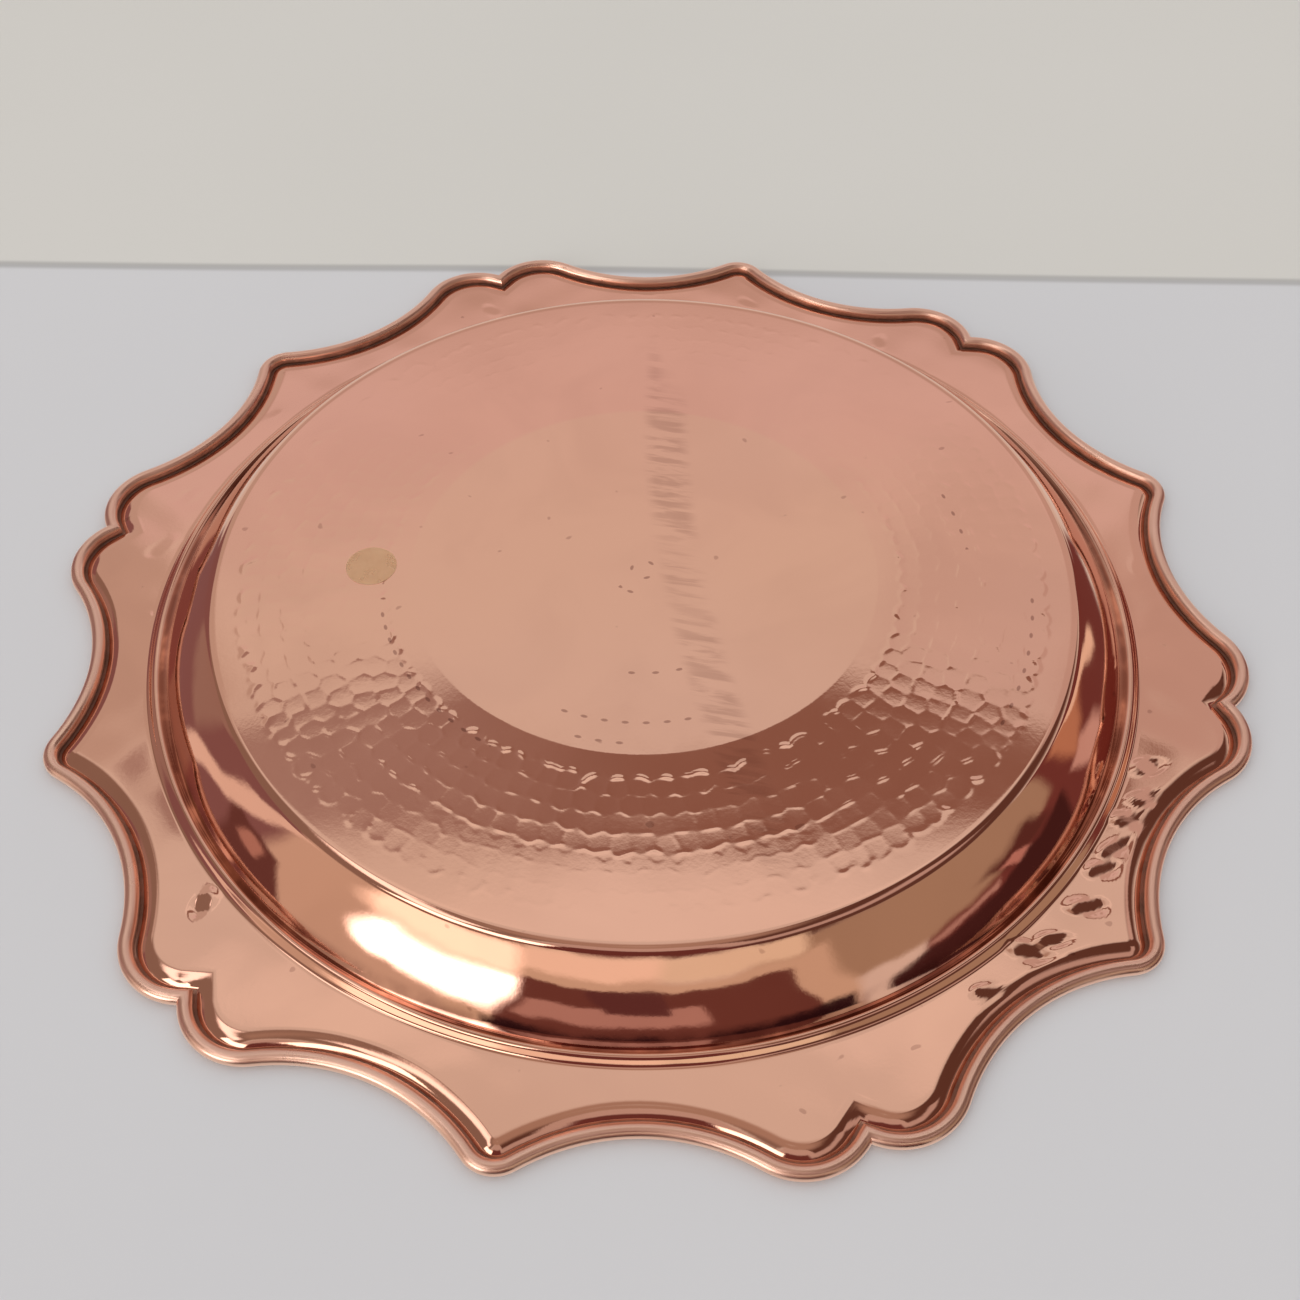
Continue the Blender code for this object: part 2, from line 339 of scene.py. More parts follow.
def outline(share):
    """The tray's outline with 1/share of the full column count: points and outward normals."""
    lobe = polar(LOBE_CENTRE_RADIUS, LOBE_CENTRE_ANGLE)
    bay = polar(BAY_CENTRE_RADIUS, BAY_CENTRE_ANGLE)
    tip = polar(TIP_CENTRE_RADIUS, TIP_ANGLE)
    bay_radius = math.dist(lobe, bay) - LOBE_RADIUS
    tip_radius = math.dist(tip, bay) - bay_radius
    notch = -math.asin(lobe[1] / LOBE_RADIUS)
    arcs = [
        arc(lobe, LOBE_RADIUS, notch, direction(lobe, bay), LOBE_COLUMNS, 1),
        arc(bay, bay_radius, direction(bay, lobe), direction(bay, tip) - 2 * math.pi, BAY_COLUMNS, -1),
        arc(tip, tip_radius, direction(tip, bay), TIP_ANGLE, TIP_COLUMNS, 1),
    ]
    points = np.concatenate([a[0][(0 if i == 0 else 1):] for i, a in enumerate(arcs)])
    normals = np.concatenate([a[1][(0 if i == 0 else 1):] for i, a in enumerate(arcs)])
    # The notch is a corner between two lobes, which moves further than an arc does for the same inset.
    normals[0] = (1 / math.cos(notch), 0)
    both = []
    for half in (points, normals):
        mirrored = turned(half * (1, -1), 2 * TIP_ANGLE)[-2:0:-1]
        sector = np.concatenate([half, mirrored])
        both.append(np.concatenate([turned(sector, 2 * TIP_ANGLE * k) for k in range(SECTORS)])[::share])
    return both


# ---------------------------------------------------------------- relief of the sheet

def waves(x, y, seed, length, height):
    """Gentle waviness: a sum of plane waves of about one length."""
    rng = np.random.default_rng(seed)
    headings = rng.uniform(0, math.pi, WAVE_COUNT)
    phases = rng.uniform(0, 2 * math.pi, WAVE_COUNT)
    scales = rng.uniform(*WAVE_LENGTHS, WAVE_COUNT)
    total = np.zeros_like(x)
    for angle, phase, scale in zip(headings, phases, scales):
        along = (x * math.cos(angle) + y * math.sin(angle)) / (length * scale)
        total += np.sin(2 * math.pi * along + phase)
    return total * height / math.sqrt(WAVE_COUNT)


def lower_of(height, row, lowest, second):
    """Take a surface into the two lowest so far, each kept as (height, row)."""
    below = height < lowest[0]
    between = (height < second[0]) & ~below
    for k, value in ((0, height), (1, row)):
        second[k] = np.where(below, lowest[k], np.where(between, value, second[k]))
        lowest[k] = np.where(below, value, lowest[k])


def round_side(angle, middle, spread, power):
    """1 at an angle round the tray and 0 away from it; a higher power makes the edge sharper."""
    return np.exp(-(np.angle(np.exp(1j * (angle - middle))) / spread) ** power)


def blow_relief(x, y):
    """Height of the planished ring above a plain sheet: the lowest of all blows, with crests between."""
    rng = np.random.default_rng(BLOW_SEED)
    radius = np.hypot(x, y)
    angle = np.arctan2(y, x) % (2 * math.pi)
    row_width = (RING_OUTER - RING_INNER - FIRST_ROW) / BLOW_ROWS
    margin = radius > RING_OUTER - row_width / 2
    lowest = [np.where(margin, 0.0, 1.0), np.full(x.shape, BLOW_ROWS + 1)]
    second = [np.ones_like(x), np.full(x.shape, BLOW_ROWS + 1)]
    first_row = RING_INNER + FIRST_ROW / 2
    lower_of(FIRST_CURVATURE / 2 * (radius - first_row) ** 2 - FIRST_DEPTH, 0, lowest, second)
    for row in range(BLOW_ROWS):
        row_radius = RING_INNER + FIRST_ROW + row_width * (row + 0.5)
        count = round(2 * math.pi * row_radius / BLOW_PITCH)
        pitch = 2 * math.pi / count
        phase = rng.uniform(0, pitch)
        shift_r = rng.normal(0, BLOW_SHIFT_ACROSS, count)
        shift_a = rng.normal(0, BLOW_SHIFT_ALONG, count) / row_radius
        depth = BLOW_DEPTH + rng.normal(0, BLOW_DEPTH_SPREAD, count)
        tilt_r = rng.normal(0, BLOW_TILT, count)
        tilt_a = rng.normal(0, BLOW_TILT, count)
        first = np.floor((angle - phase) / pitch).astype(int)
        for step in (-1, 0, 1, 2):
            blow = (first + step) % count
            centre_a = phase + blow * pitch + shift_a[blow]
            across = x * np.cos(centre_a) + y * np.sin(centre_a) - row_radius - shift_r[blow]
            along = y * np.cos(centre_a) - x * np.sin(centre_a)
            height = BLOW_CURVATURE / 2 * (across ** 2 + along ** 2) - depth[blow]
            height += across * tilt_r[blow] + along * tilt_a[blow]
            lower_of(height, row + 1, lowest, second)
    from_edge = (second[0] - lowest[0]) / (BLOW_CURVATURE * BLOW_PITCH)
    line = np.minimum(lowest[1], second[1]).clip(0, BLOW_ROWS)
    strength = np.where(lowest[1] == second[1], CREST_IN_ROW, np.array(CREST_OF_ROWS)[line.astype(int)])
    kept = np.where(line >= WORN_ROWS, 1 - WORN_SHARE * round_side(angle, WORN_ANGLE, WORN_SPREAD, 4), 1.0)
    kept *= 1 - FAR_SHARE * round_side(angle, FAR_ANGLE, FAR_SPREAD, 6)
    strength *= np.clip(CREST_MEAN + CREST_SWING * waves(x, y, *CREST_WAVES), 0.0, CREST_MOST)
    crest = CREST_HEIGHT * strength * np.exp(-(from_edge / CREST_WIDTH) ** 2)
    relief = (lowest[0] + crest) * kept
    return relief * smooth_step(RING_INNER, RING_INNER + RING_EDGE, radius)


def dent_relief(x, y):
    """Oval strokes of the hammer in the brim, each a small facet that slopes outwards."""
    rng = np.random.default_rng(DENT_SEED)
    total = np.zeros_like(x)
    for middle, spread, count, slope in BRIM_DENTS:
        for k in range(count):
            angle = math.radians(middle + spread * (2 * (k + rng.uniform(*DENT_PLACES)) / count - 1))
            centre_x, centre_y = polar(rng.uniform(*DENT_RADII) * MM, angle)
            heading = angle + math.radians(rng.uniform(*DENT_HEADINGS))
            from_x, from_y = x - centre_x, y - centre_y
            along = from_x * math.cos(heading) + from_y * math.sin(heading)
            across = from_y * math.cos(heading) - from_x * math.sin(heading)
            out = from_x * math.cos(angle) + from_y * math.sin(angle)
            length, width = rng.uniform(*DENT_LENGTHS) * MM, rng.uniform(*DENT_WIDTHS) * MM
            reach = np.hypot(along / length, across / width)
            total -= slope * out * (1 - smooth_step(*DENT_EDGE, reach))
    return total


def sheet_relief(x, y):
    """How far the sheet's surface stands above the plain shape, by place."""
    radius = np.hypot(x, y)
    relief = np.zeros_like(x)
    ring = (radius > RELIEF_FROM) & (radius < RELIEF_TO)
    relief[ring] = blow_relief(x[ring], y[ring])
    relief += waves(x, y, *SHEET_WAVES)
    brim = smooth_step(BRIM_FROM, BRIM_FULLY, radius)
    relief += brim * (waves(x, y, *BRIM_WAVES) + dent_relief(x, y))
    return relief


# ---------------------------------------------------------------- profiles

def centre_height(radius):
    """Upper surface of the slightly hollow centre."""
    return HEIGHT - CENTRE_HOLLOW * (1 - (radius / CENTRE_RADIUS) ** 2)


def dish_line():
    """Upper surface of the turned part from the centre to the brim: (radius, height, columns)."""
    centre = []
    for radii, share in CENTRE_RINGS:
        for radius in radii:
            centre.append((radius * MM, centre_height(radius * MM), COLUMNS // share))
    ring_radii = np.linspace(RING_INNER, RING_OUTER + RING_ROWS_PAST, RING_ROWS)
    ring = [(r, HEIGHT, RING_COLUMNS) for r in ring_radii]
    margin = [(r * MM, HEIGHT, COLUMNS) for r in MARGIN_RINGS]
    shoulder = []
    for step in range(SHOULDER_STEPS + 1):
        tilt = SHOULDER_SLOPE * step / SHOULDER_STEPS
        shoulder.append((SHOULDER_START + SHOULDER_ROUND * math.sin(tilt),
                         HEIGHT - SHOULDER_ROUND * (1 - math.cos(tilt)), COLUMNS))
    top = shoulder[-1]
    foot = (WALL_FOOT_RADIUS + WALL_FOOT_ROUND, WALL_FOOT_HEIGHT)
    across = (top[1] - foot[1], foot[0] - top[0])
    wall = []
    for step in range(1, WALL_STEPS + 1):
        share = step / WALL_STEPS
        swell = WALL_BULGE * math.sin(math.pi * share) / math.hypot(*across)
        wall.append((top[0] + (foot[0] - top[0]) * share + across[0] * swell,
                     top[1] + (foot[1] - top[1]) * share + across[1] * swell, COLUMNS))
    bead = []
    middle = (WALL_FOOT_RADIUS + BEAD_RADIUS) / 2
    for step in range(1, BEAD_STEPS + 1):
        radius = foot[0] + (BEAD_RADIUS + BEAD_RUN_OUT - foot[0]) * step / BEAD_STEPS
        swell = math.cos(math.pi * (radius - middle) / (2 * BEAD_HALF_WIDTH)) ** 2
        bead.append((radius, BRIM_HEIGHT + BEAD_HEIGHT * swell, COLUMNS))
    return centre + ring + margin + shoulder + wall + bead


def moulding_line(steps):
    """Upper surface from the brim down to the valley: (inset, height)."""
    run = BRIM_INSET - VALLEY_INSET
    last_tilt = 2 * math.atan((BRIM_HEIGHT - SHEET) / run)
    radius = run / math.sin(last_tilt)
    tilts = [last_tilt * step / steps for step in range(steps + 1)]
    return [(BRIM_INSET - radius * math.sin(t), BRIM_HEIGHT - radius * (1 - math.cos(t))) for t in tilts]


def roll_line(radius, first, last, steps):
    """Part of a circle round the roll's centre: (inset, height)."""
    angles = np.linspace(first, last, steps + 1)
    return [(ROLL_RADIUS - radius * math.cos(a), ROLL_RADIUS + radius * math.sin(a)) for a in angles]


def offset_down(line):
    """The line moved down by the sheet's thickness, square to itself."""
    points = np.array([p[:2] for p in line])
    ahead = np.roll(points, -1, 0)
    behind = np.roll(points, 1, 0)
    ahead[-1], behind[0] = points[-1], points[0]
    slope = ahead - behind
    slope /= np.linalg.norm(slope, axis=1)[:, None]
    return points + SHEET * np.stack([slope[:, 1], -slope[:, 0]], 1)


# ---------------------------------------------------------------- sheet

def turned_row(radius, height, columns, relief):
    """A round row of vertices, with or without the relief."""
    angles = np.arange(columns) * 2 * math.pi / columns
    x, y = radius * np.cos(angles), radius * np.sin(angles)
    z = np.full(columns, height)
    if relief:
        z = z + sheet_relief(x, y)
    return np.stack([x, y, z], 1)


def edge_row(inset, height, share, relief=0.0):
    """A row that follows the outline, with a share of the relief."""
    points, normals = OUTLINES[share]
    flat = points - normals * inset
    z = height + relief * sheet_relief(flat[:, 0], flat[:, 1])
    return np.column_stack([flat, z])


def blend_rows(inner, outer, steps):
    """The rows between two rows of equal length."""
    return [inner + (outer - inner) * step / steps for step in range(1, steps)]


def brim_rows(inner, outer, steps):
    """Rows across the brim with twice the columns of its two edges, which are given without relief."""
    doubled = []
    for row in (inner, outer):
        fine = np.repeat(row, 2, 0)
        fine[1::2] = (row + np.roll(row, -1, 0)) / 2
        doubled.append(fine)
    rows = blend_rows(doubled[0], doubled[1], steps)
    for row in rows:
        row[:, 2] += sheet_relief(row[:, 0], row[:, 1])
    return rows


def sheet_rows():
    """Rings of vertices from the top's centre out, round the roll, and back in along the inside."""
    line = dish_line()
    rows = [turned_row(r, z, n, True) for r, z, n in line]
    mould = moulding_line(MOULDING_STEPS)
    rows += brim_rows(turned_row(*line[-1], False), edge_row(*mould[0], 1), BRIM_STEPS)
    fade = np.linspace(1, 0, len(mould))
    rows += [edge_row(i, z, 1, f) for (i, z), f in zip(mould, fade)]
    inner_roll = ROLL_RADIUS - SHEET
    rows += [edge_row(i, z, 1) for i, z in roll_line(inner_roll, -math.pi / 2, ROLL_END, ROLL_INNER_STEPS)]
    middle = ROLL_RADIUS - SHEET / 2
    tip_angle = ROLL_END + SHEET * LIP_ROUND / middle
    rows.append(edge_row(*roll_line(middle, tip_angle, tip_angle + 1, 1)[0], 1))
    outside = len(rows)
    rows += [edge_row(i, z, 1) for i, z in roll_line(ROLL_RADIUS, ROLL_END, -math.pi / 2, ROLL_OUTER_STEPS)]
    roll = (outside - TARNISHED_BEFORE, outside + TARNISHED_AFTER, len(rows))
    rows.append(edge_row(VALLEY_INSET + VALLEY_FLAT, 0, 2))
    lower_mould = offset_down(moulding_line(MOULDING_STEPS // 2)[::-1])
    rows += [edge_row(i, z, 2) for i, z in lower_mould[1:]]
    under = offset_down(line)
    inside = [k for k in range(len(line)) if line[k][0] > RING_OUTER]
    lower_bead = turned_row(*under[inside[-1]], COLUMNS // 2, False)
    rows += blend_rows(rows[-1], lower_bead, INSIDE_BRIM_STEPS)
    for k in inside[::-1]:
        rows.append(turned_row(*under[k], COLUMNS // 2, False))
    for radius in np.arange(*INSIDE_MARKS) * MM:
        rows.append(turned_row(radius, HEIGHT - SHEET, COLUMNS // 2, True))
    for radii, share in INSIDE_RINGS:
        for radius in radii:
            rows.append(turned_row(radius * MM, centre_height(radius * MM) - SHEET, COLUMNS // share, True))
    return rows, roll


def join_rows(first, second, first_start, second_start):
    """Faces between two rings, where one may have twice the columns of the other."""
    n, m = len(first), len(second)
    faces = []
    if n == m:
        for i in range(n):
            j = (i + 1) % n
            faces.append((first_start + i, second_start + i, second_start + j, first_start + j))
    elif m == 2 * n:
        for i in range(n):
            j = (i + 1) % n
            a, b, c = second_start + 2 * i, second_start + 2 * i + 1, second_start + (2 * i + 2) % m
            faces += [(first_start + i, a, b), (first_start + i, b, first_start + j),
                      (first_start + j, b, c)]
    else:
        for i in range(m):
            j = (i + 1) % m
            a, b, c = first_start + 2 * i, first_start + 2 * i + 1, first_start + (2 * i + 2) % n
            faces += [(second_start + i, b, a), (second_start + i, second_start + j, b),
                      (second_start + j, c, b)]
    return faces


def finish_of(row, roll):
    """Material of the faces after a row: 0 polished, 1 on the roll, 2 in the valley beside it."""
    if roll[0] <= row < roll[1]:
        return 2
    return int(roll[1] <= row < roll[2])


def sheet_mesh():
    """The tray's sheet, closed: outside, roll and inside, with a pole at the middle of each face."""
    rows, roll = sheet_rows()
    starts = np.cumsum([1] + [len(row) for row in rows])
    relief = sheet_relief(np.zeros(1), np.zeros(1))[0]
    top_pole = [(0, 0, HEIGHT - CENTRE_HOLLOW + relief)]
    low_pole = [(0, 0, HEIGHT - CENTRE_HOLLOW - SHEET + relief)]
    vertices = np.concatenate([top_pole] + rows + [low_pole])
    faces = [(0, 1 + i, 1 + (i + 1) % len(rows[0])) for i in range(len(rows[0]))]
    finish = [0] * len(faces)
    for k in range(len(rows) - 1):
        faces += join_rows(rows[k], rows[k + 1], int(starts[k]), int(starts[k + 1]))
        finish += [finish_of(k, roll)] * (len(faces) - len(finish))
    last, n = int(starts[-2]), len(rows[-1])
    pole = len(vertices) - 1
    faces += [(pole, last + (i + 1) % n, last + i) for i in range(n)]
    finish += [0] * n
    mesh = bpy.data.meshes.new("hammered_tray")
    mesh.from_pydata(vertices.tolist(), [], faces)
    mesh.polygons.foreach_set("material_index", finish)
    mesh.validate()
    mesh.shade_smooth()
    mesh.set_sharp_from_angle(angle=SHEET_SHARP_ANGLE)
    return mesh


# ---------------------------------------------------------------- materials

class Nodes:
    """A small helper that makes and links shader nodes."""

    def __init__(self, tree):
        self.tree = tree

    def add(self, kind, **settings):
        node = self.tree.nodes.new(kind)
        for name, value in settings.items():
            setattr(node, name, value)
        return node

    def link(self, source, target):
        self.tree.links.new(source, target)

    def put(self, target, value):
        if isinstance(value, bpy.types.NodeSocket):
            self.link(value, target)
        else:
            target.default_value = value

    def math(self, operation, a, b=0.0, c=0.0):
        node = self.add("ShaderNodeMath", operation=operation)
        for socket, value in zip(node.inputs, (a, b, c)):
            self.put(socket, value)
        return node.outputs[0]

    def squared(self, value):
        return self.math("POWER", self.math("ABSOLUTE", value), 2.0)

    def dot(self, vector, axis):
        node = self.add("ShaderNodeVectorMath", operation="DOT_PRODUCT")
        self.put(node.inputs[0], vector)
        node.inputs[1].default_value = axis
        return node.outputs["Value"]

    def ramp(self, value, low, high, start=0.0, end=1.0):
        """Goes smoothly from start to end while the value goes from low to high."""
        node = self.add("ShaderNodeMapRange", interpolation_type="SMOOTHSTEP")
        self.put(node.inputs["Value"], value)
        self.put(node.inputs["From Min"], low)
        self.put(node.inputs["From Max"], high)
        node.inputs["To Min"].default_value = start
        node.inputs["To Max"].default_value = end
        return node.outputs["Result"]

    def mix(self, factor, a, b):
        node = self.add("ShaderNodeMix", data_type="RGBA")
        self.put(node.inputs["Factor"], factor)
        self.put(node.inputs[6], a)
        self.put(node.inputs[7], b)
        return node.outputs[2]

    def stretch(self, vector, scale):
        node = self.add("ShaderNodeVectorMath", operation="MULTIPLY")
        self.put(node.inputs[0], vector)
        node.inputs[1].default_value = scale
        return node.outputs["Vector"]

    def noise(self, vector, scale, detail=2.0, roughness=0.5, distortion=0.0):
        """Soft noise round 0.5; the scale is about how many of its features fit in a metre."""
        node = self.add("ShaderNodeTexNoise")
        self.put(node.inputs["Vector"], vector)
        for name, value in (("Scale", scale), ("Detail", detail), ("Roughness", roughness),
                            ("Distortion", distortion)):
            node.inputs[name].default_value = value
        return node.outputs["Fac"]

    def bump(self, height, distance):
        node = self.add("ShaderNodeBump")
        node.inputs["Distance"].default_value = distance
        self.put(node.inputs["Height"], height)
        return node.outputs["Normal"]


def new_material(name):
    """A new material with its node helper, its shader and the place on the object."""
    made = bpy.data.materials.new(name)
    made.use_nodes = True
    nodes = Nodes(made.node_tree)
    shader = made.node_tree.nodes["Principled BSDF"]
    place = nodes.add("ShaderNodeTexCoord").outputs["Object"]
    return made, nodes, shader, place


def smear_mask(nodes, place, x, y):
    """1 on the smear that runs across the dish: a bent band, broken up by cross strokes."""
    middle = nodes.math("MULTIPLY", y, SMEAR_LEAN)
    middle = nodes.math("ADD", middle, nodes.math("MULTIPLY", nodes.math("MULTIPLY", y, y), SMEAR_BEND))
    across = nodes.math("ABSOLUTE", nodes.math("SUBTRACT", x, nodes.math("ADD", middle, SMEAR_START)))
    band = nodes.ramp(across, *SMEAR_WIDTHS, 1.0, 0.0)
    strokes = nodes.noise(nodes.stretch(place, (45, 320, 1)), 1.0, 3, 0.6, 0.4)
    patches = nodes.ramp(nodes.noise(place, 26, 2), 0.40, 0.62)
    band = nodes.math("MULTIPLY", band, nodes.ramp(strokes, 0.42, 0.62))
    return nodes.math("MULTIPLY", band, patches)


def pricks(nodes, radius, angle, ring, spacing, first, last):
    """1 on the small pricks of a ring of marks, between two angles in degrees."""
    count = round(2 * math.pi * ring / spacing)
    turns = nodes.math("MULTIPLY", angle, count / (2 * math.pi))
    off = nodes.math("SUBTRACT", nodes.math("FRACT", nodes.math("ADD", turns, 100.0)), 0.5)
    off = nodes.math("MULTIPLY", off, spacing)
    out = nodes.math("SUBTRACT", radius, ring)
    reach = nodes.math("ADD", nodes.squared(nodes.math("DIVIDE", off, PRICK_LENGTH)),
                       nodes.squared(nodes.math("DIVIDE", out, PRICK_WIDTH)))
    degrees = nodes.math("MULTIPLY", angle, 180 / math.pi)
    within = nodes.math("MULTIPLY", nodes.math("GREATER_THAN", degrees, first),
                        nodes.math("LESS_THAN", degrees, last))
    return nodes.math("MULTIPLY", nodes.ramp(reach, *PRICK_EDGE, 1.0, 0.0), within)


def copper_material(name, roughness, base, marked):
    """Copper with faint tarnish and an uneven polish; only the polished finish has the marks."""
    made, nodes, shader, place = new_material(name)
    shader.inputs["Metallic"].default_value = 1.0
    tarnish = nodes.ramp(nodes.noise(place, 20, 3, 0.55, 0.6), 0.40, 0.68)
    cloud = nodes.ramp(nodes.noise(place, 7, 2, 0.5), 0.35, 0.7)
    colour = nodes.mix(nodes.math("MULTIPLY", tarnish, TARNISH_STRENGTH), base, COPPER_DIRTY)
    colour = nodes.mix(nodes.math("MULTIPLY", cloud, PINK_STRENGTH), colour, COPPER_PINK)
    if marked:
        colour = add_marks(nodes, place, colour)
    nodes.link(colour, shader.inputs["Base Color"])
    polish = nodes.noise(place, 60, 4, 0.6)
    nodes.link(nodes.ramp(polish, 0.3, 0.8, *roughness), shader.inputs["Roughness"])
    grain = nodes.noise(place, 900, 2, 0.5)
    nodes.link(nodes.bump(grain, GRAIN_DEPTH), shader.inputs["Normal"])
    return made


def add_marks(nodes, place, colour):
    """Darken the smear, a patchy band round the wall's foot, the pricks and a scatter of small specks."""
    split = nodes.add("ShaderNodeSeparateXYZ")
    nodes.link(place, split.inputs[0])
    x, y = split.outputs["X"], split.outputs["Y"]
    radius = nodes.math("SQRT", nodes.math("ADD", nodes.math("MULTIPLY", x, x), nodes.math("MULTIPLY", y, y)))
    angle = nodes.math("ARCTAN2", y, x)
    within = nodes.ramp(radius, *SMEAR_ENDS, 1.0, 0.0)
    smear = nodes.math("MULTIPLY", smear_mask(nodes, place, x, y), within)
    colour = nodes.mix(nodes.math("MULTIPLY", smear, SMEAR_STRENGTH), colour, COPPER_DIRTY)
    # A patchy, darker band round the wall's foot, where the wall meets the bead.
    from_foot = nodes.math("ABSOLUTE", nodes.math("SUBTRACT", radius, FOOT_DARKENING_RADIUS))
    corner = nodes.ramp(from_foot, *FOOT_DARKENING_WIDTHS, 1.0, 0.0)
    mottle = nodes.math("MULTIPLY", corner, nodes.ramp(nodes.noise(place, 80, 3), 0.25, 0.6))
    colour = nodes.mix(nodes.math("MULTIPLY", mottle, FOOT_DARKENING_STRENGTH), colour, COPPER_DIRTY)
    marks = nodes.ramp(nodes.noise(place, 170, 1), 0.765, 0.80, 0.0, SPECK_STRENGTH)
    for ring, spacing, first, last in PRICK_RINGS:
        ring_marks = pricks(nodes, radius, angle, ring * MM, spacing * MM, first, last)
        marks = nodes.math("MAXIMUM", marks, ring_marks)
    return nodes.mix(nodes.math("MULTIPLY", marks, PRICK_STRENGTH), colour, COPPER_DIRTY)


def valley_material():
    """Dull, tarnished copper for the valley and the inner side of the roll."""
    made, nodes, shader, place = new_material("tarnished_copper")
    shader.inputs["Metallic"].default_value = VALLEY_METALLIC
    mottle = nodes.ramp(nodes.noise(place, 140, 3, 0.6), 0.35, 0.7)
    nodes.link(nodes.mix(mottle, *VALLEY_COLOURS), shader.inputs["Base Color"])
    nodes.link(nodes.ramp(mottle, 0.0, 1.0, *VALLEY_ROUGHNESS), shader.inputs["Roughness"])
    return made


def label_material():
    """Yellowed, see-through film."""
    made, nodes, shader, place = new_material("label_film")
    spots = nodes.ramp(nodes.noise(place, 220, 3), 0.35, 0.7)
    colour = nodes.mix(spots, *LABEL_COLOURS)
    nodes.link(colour, shader.inputs["Base Color"])
    shader.inputs["Roughness"].default_value = LABEL_ROUGHNESS
    shader.inputs["Alpha"].default_value = LABEL_ALPHA
    return made


def wire_material():
    """Plain drawn steel."""
    made, nodes, shader, place = new_material("drawn_wire")
    shader.inputs["Metallic"].default_value = 1.0
    dull = nodes.noise(place, 240, 3, 0.6)
    nodes.link(nodes.mix(dull, *WIRE_COLOURS), shader.inputs["Base Color"])
    nodes.link(nodes.ramp(dull, 0.3, 0.7, *WIRE_ROUGHNESS), shader.inputs["Roughness"])
    return made


def floor_material():
    """The pale table, and the wall behind it."""
    made, nodes, shader, place = new_material("pale_table")
    cloud = nodes.noise(place, 3, 2)
    table = nodes.mix(cloud, *TABLE_COLOURS)
    # A standing wall would hide the tray from behind, so it is only a change of colour past a dark joint.
    beyond = nodes.dot(place, WALL_NORMAL)
    bend = nodes.math("MULTIPLY", nodes.math("SUBTRACT", nodes.noise(place, 2.0, 1), 0.5), WALL_BEND)
    beyond = nodes.math("SUBTRACT", nodes.math("ADD", beyond, bend), WALL_DISTANCE)
    wall = nodes.mix(cloud, *WALL_COLOURS)
    colour = nodes.mix(nodes.ramp(beyond, -WALL_EDGE, WALL_EDGE), table, wall)
    joint = nodes.ramp(nodes.math("ABSOLUTE", beyond), *JOINT_WIDTHS, JOINT_STRENGTH, 0.0)
    colour = nodes.mix(joint, colour, JOINT_COLOUR)
    nodes.link(colour, shader.inputs["Base Color"])
    shader.inputs["Roughness"].default_value = TABLE_ROUGHNESS
    return made


# ---------------------------------------------------------------- label

def label_mesh(low, high):
    """A thin film that lies on the sheet's relief, inside the CAD label's outline."""
    centre_x, centre_y = (low.x + high.x) / 2, (low.y + high.y) / 2
    radius = (high.x - low.x) / 2
    angles = np.arange(LABEL_COLUMNS) * 2 * math.pi / LABEL_COLUMNS

    def film_row(share, lift):
        x = centre_x + radius * share * np.cos(angles)
        y = centre_y + radius * share * np.sin(angles)
        return np.stack([x, y, HEIGHT + sheet_relief(x, y) + LABEL_GAP + lift], 1)

    shares = np.arange(1, LABEL_RINGS + 1) / LABEL_RINGS
    rows = [film_row(s, LABEL_THICKNESS) for s in shares] + [film_row(s, 0) for s in shares[::-1]]
    middle = sheet_relief(np.array([centre_x]), np.array([centre_y]))[0] + HEIGHT + LABEL_GAP
    vertices = np.concatenate([[(centre_x, centre_y, middle + LABEL_THICKNESS)]] + rows
                              + [[(centre_x, centre_y, middle)]])
    faces = [(0, 1 + i, 1 + (i + 1) % LABEL_COLUMNS) for i in range(LABEL_COLUMNS)]
    for k in range(len(rows) - 1):
        faces += join_rows(rows[k], rows[k + 1], 1 + k * LABEL_COLUMNS, 1 + (k + 1) * LABEL_COLUMNS)
    pole, last = len(vertices) - 1, 1 + (len(rows) - 1) * LABEL_COLUMNS
    faces += [(pole, last + (i + 1) % LABEL_COLUMNS, last + i) for i in range(LABEL_COLUMNS)]
    mesh = bpy.data.meshes.new("label_film")
    mesh.from_pydata(vertices.tolist(), [], faces)
    mesh.validate()
    mesh.shade_smooth()
    mesh.set_sharp_from_angle(angle=LABEL_SHARP_ANGLE)
    return mesh


def add_piece(name, mesh, finishes, node):
    """A visible piece that takes a CAD node's place."""
    piece = bpy.data.objects.new(name, mesh)
    bpy.context.scene.collection.objects.link(piece)
    for finish in finishes:
        mesh.materials.append(finish)
    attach(piece, "root")
    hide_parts(node)


# ---------------------------------------------------------------- stage, light and camera

def add_floor():
    mesh = bpy.data.meshes.new("table")
    corners = [(TABLE_HALF * x, TABLE_HALF * y, 0) for x, y in ((-1, -1), (1, -1), (1, 1), (-1, 1))]
    mesh.from_pydata(corners, [], [(0, 1, 2, 3)])
    floor = bpy.data.objects.new("table", mesh)
    floor.location.z = -TABLE_DROP
    mesh.materials.append(floor_material())
    bpy.context.scene.collection.objects.link(floor)
    # The polished metal mirrors the room down to below the horizon, so the table is left out of it.
    floor.visible_glossy = False


